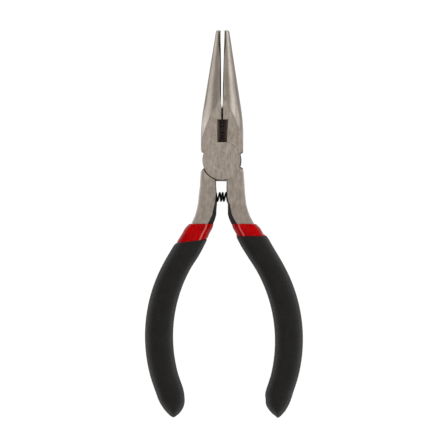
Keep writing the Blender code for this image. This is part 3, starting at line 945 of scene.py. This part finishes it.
def disc_radius(side, x, y):
    """Radius of the half disc whose arm is on this side: smaller where the other jaw seats it."""
    bearing = math.degrees(math.atan2(y, side * x))
    into = smooth((bearing - SEATED_FROM) / BEARING_BLEND)
    out = smooth((SEATED_TO - bearing) / BEARING_BLEND)
    return mix(DISC_RADIUS, SEATED_RADIUS, into * out)


def round_solid(side, low, high, above, below):
    """An upright solid with the half disc's outline, larger beside the jaw's root and below it."""
    ring = []
    for i in range(DISC_SEGMENTS):
        angle = (i + 0.5) * 2 * math.pi / DISC_SEGMENTS
        x, y = math.cos(angle), math.sin(angle)
        beside_root = DISC_RADIUS * y > JAW_SEAT_Y
        radius = disc_radius(side, x, y) + (above if beside_root else below)
        ring.append((radius * x, radius * y))
    return loft([[Vector((x, y, z)) * MM for x, y in ring] for z in (low, high)])


def spring_line():
    """The middle of the space between the arms, where the spring's axis lies along X."""
    return lean(0.0, SPRING_DEPTH, 0.0, RIGHT)


def spring_hole(side):
    along = Matrix.Rotation(side * math.pi / 2, 4, "Y")
    matrix = Matrix.Translation(spring_line()) @ along
    return cylinder(HOLE_RADIUS, 0.5, HOLE_END, HOLE_SEGMENTS, matrix)


def paint_lever(mesh, jaw_side):
    """Gives each face its finish: ground flats, polished nose, milled inner faces, black scale, which
    also serves as painted shade inside the lap joint.
    """
    inward = Vector((-jaw_side, 0, 0))
    for polygon in mesh.polygons:
        centre, normal = polygon.center / MM, polygon.normal
        on_flat = centre.z < 0.3 or centre.z > THICKNESS - 0.3
        in_cutter = WINDOW_BOTTOM_Y - 1 < centre.y < GROOVE_TOP_Y and abs(centre.x) < 1.9
        facing_up = abs(normal.z) > FLAT_FACING
        outward = normal.x * centre.x > 0.3 * abs(centre.x)
        if facing_up and (on_flat or centre.y < -6.0):
            finish = GROUND
        elif centre.y > 3.2 and abs(centre.x) > 2.0 and abs(normal.z) < FLAT_FACING:
            finish = NOSE
        elif centre.y < -3.0 and abs(normal.z) < FLAT_FACING and outward:
            finish = NOSE
        elif centre.y > GROOVE_TOP_Y:
            at_end = centre.y > JAW_TIP_Y - 0.2
            finish = JAW_FACE if at_end or normal.dot(inward) > INWARD_FACING else NOSE
        elif in_cutter and WINDOW_BOTTOM_Y < centre.y < WINDOW_TOP_Y + 0.01:
            finish = CUTTER
        # The rest gets the black: real forging scale on the arms' sides, painted shade on the faces
        # that slide on each other inside the lap joint and in the seat round the other half disc.
        else:
            finish = SCALE_AND_GAP_SHADE
        polygon.material_index = finish


def lever(name, node, body, jaw_side, front):
    """One forging: a jaw, half of the lap joint and the arm on the other side, ground flat."""
    arm_side = -jaw_side
    below, above = -CUT_MARGIN, THICKNESS + CUT_MARGIN
    made = add(name, jaw(jaw_side))
    tools = []

    def cut(label, shape, operation="DIFFERENCE", target=None):
        tools.append(combine(target or made, add(f"{name}_{label}", shape), operation))
        return tools[-1]

    for number, shape in enumerate(cutter_shapes(jaw_side)):
        cut(f"cutter_{number}", shape)
    disc_shape = round_solid(arm_side, -CUT_MARGIN / 2, THICKNESS + CUT_MARGIN / 2, 0.0, 0.0)
    disc = cut("disc", disc_shape, "UNION")
    cap = block((-CAP_HALF_WIDTH, WINDOW_BOTTOM_Y, below), (CAP_HALF_WIDTH, DISC_RADIUS + 1.0, above))
    cut("disc_cap", cap, "DIFFERENCE", disc)
    cut("arm", arm(arm_side), "UNION")
    reach = JAW_TIP_Y * 3
    cut("slab", block((-reach, -reach, 0.0), (reach, reach, THICKNESS)), "INTERSECT")
    seat = (below, MID_Z + LAP_GAP / 2) if front else (MID_Z - LAP_GAP / 2, above)
    cut("seat", round_solid(jaw_side, *seat, JAW_CLEARANCE, ARM_CLEARANCE))
    if not front:
        web_top = MID_Z - LAP_GAP / 2 - WEB_DROP
        web = block((*WEB_LOW, 0.0), (*WEB_HIGH, web_top))
        cut("web", web, "UNION")
    cut("bore", cylinder(BORE_RADIUS, below, above, PIN_SEGMENTS))
    cut("spring_hole", spring_hole(arm_side))
    clean = made.modifiers.new("clean", "DECIMATE")
    clean.decimate_type = "DISSOLVE"
    clean.angle_limit = math.radians(0.3)
    round_edges(made, EDGE_ROUND, EDGE_ROUND_ANGLE)
    bake_modifiers(made, tools)
    for finish in STEEL_SET:
        made.data.materials.append(finish)
    paint_lever(made.data, jaw_side)
    settle_normals(made, STEEL_SMOOTH_ANGLE)
    return show(made, body, node)


def rivet():
    """The pivot pin, its two ends ground flush with the joint."""
    made = add("rivet_pin", cylinder(RIVET_RADIUS, 0.0, THICKNESS, PIN_SEGMENTS))
    round_edges(made, RIVET_EDGE)
    bake_modifiers(made, [])
    made.data.materials.append(STEEL_SET[GROUND])
    settle_normals(made, STEEL_SMOOTH_ANGLE)
    return show(made, REAR_BODY, "rivet")


def coil():
    """The return spring: round wire wound along X, both ends in the arms' blind holes."""
    centre = spring_line()
    count = (len(HALF_TURNS) - 1) * STEPS_PER_HALF_TURN

    def spine(half_turns):
        angle = math.pi * half_turns
        reach = Vector((0, -math.cos(angle), math.sin(angle))) * COIL_RADIUS
        return Vector((spline(HALF_TURNS, half_turns), 0, 0)) + reach

    rings = []
    for i in range(count + 1):
        at = i / STEPS_PER_HALF_TURN
        forward = (spine(at + 0.01) - spine(at - 0.01)).normalized()
        angle = math.pi * at
        outward = Vector((0, -math.cos(angle), math.sin(angle)))
        third = forward.cross(outward).normalized()
        ring = []
        for j in range(WIRE_SEGMENTS):
            turn = 2 * math.pi * j / WIRE_SEGMENTS
            offset = outward * math.cos(turn) + third * math.sin(turn)
            ring.append(centre + (spine(at) + offset * WIRE_RADIUS) * MM)
        rings.append(ring)
    made = add("return_coil", loft(rings))
    made.data.materials.append(WIRE)
    shade(made, PLASTIC_SMOOTH_ANGLE)
    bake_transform(made)
    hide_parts("return_spring")
    return made


def handles():
    for side, body in ((LEFT, REAR_BODY), (RIGHT, FRONT_BODY)):
        word = SIDE_NAME[side]
        red = add(f"{word}_red_layer", sleeve(side))
        red.data.materials.append(RED)
        shade(red, PLASTIC_SMOOTH_ANGLE)
        show(red, body, f"{word}_inner_sleeve")
        black = add(f"{word}_black_layer", grip(side))
        black.data.materials.append(BLACK)
        shade(black, PLASTIC_SMOOTH_ANGLE)
        show(black, body, f"{word}_grip")


# Stage

def area_light(name, location, target, size, power, colour=(1, 1, 1)):
    light = bpy.data.lights.new(name, "AREA")
    light.shape = "RECTANGLE"
    light.size, light.size_y = size
    light.energy = power
    light.color = colour
    lamp = bpy.data.objects.new(name, light)
    lamp.location = location
    aim = Vector(target) - Vector(location)
    lamp.rotation_euler = aim.to_track_quat("-Z", "Y").to_euler()
    bpy.context.scene.collection.objects.link(lamp)


def floor_material():
    """A pale light table, bright enough to read as white round the pliers."""
    material = bpy.data.materials.new("pale_floor")
    material.use_nodes = True
    shader = material.node_tree.nodes["Principled BSDF"]
    shader.inputs["Base Color"].default_value = (0.2, 0.2, 0.2, 1)
    shader.inputs["Roughness"].default_value = 1.0
    shader.inputs["Specular IOR Level"].default_value = 0.0
    shader.inputs["Emission Color"].default_value = (1, 1, 1, 1)
    shader.inputs["Emission Strength"].default_value = 0.97
    return material


def stage():
    bm = bmesh.new()
    bmesh.ops.create_grid(bm, x_segments=1, y_segments=1, size=FLOOR_SIZE)
    floor = add("floor", bm)
    floor.location = (0, 0, -FLOOR_DROP)
    floor.data.materials.append(floor_material())

    world = bpy.data.worlds.new("soft_studio")
    world.use_nodes = True
    background = world.node_tree.nodes["Background"]
    background.inputs["Color"].default_value = (1.0, 0.95, 0.9, 1)
    background.inputs["Strength"].default_value = 0.33
    bpy.context.scene.world = world

    middle = (0, -0.02, 0)
    area_light("top_softbox", (0.0, 0.10, 1.0), middle, (0.5, 0.5), 0.64, (1.0, 0.97, 0.94))
    area_light("left_softbox", (-0.6, 0.0, 0.13), middle, (0.9, 0.26), 0.5)
    area_light("right_softbox", (0.55, 0.0, 0.27), middle, (0.9, 0.34), 1.1)


def camera():
    lens = bpy.data.cameras.new("camera")
    lens.sensor_width = 36.0
    lens.lens = lens.sensor_width * (CAMERA_HEIGHT / MM - MID_Z) / VIEW_WIDTH
    lens.clip_start = 0.01
    lens.clip_end = 10.0
    made = bpy.data.objects.new("camera", lens)
    made.location = (CAMERA_CENTRE[0] * MM, CAMERA_CENTRE[1] * MM, CAMERA_HEIGHT)
    bpy.context.scene.collection.objects.link(made)
    bpy.context.scene.camera = made
    bpy.context.scene.view_settings.view_transform = "Standard"


camera()
stage()
lever("front_lever_forging", "front_lever", FRONT_BODY, LEFT, True)
lever("rear_lever_forging", "rear_lever", REAR_BODY, RIGHT, False)
rivet()
coil()
handles()
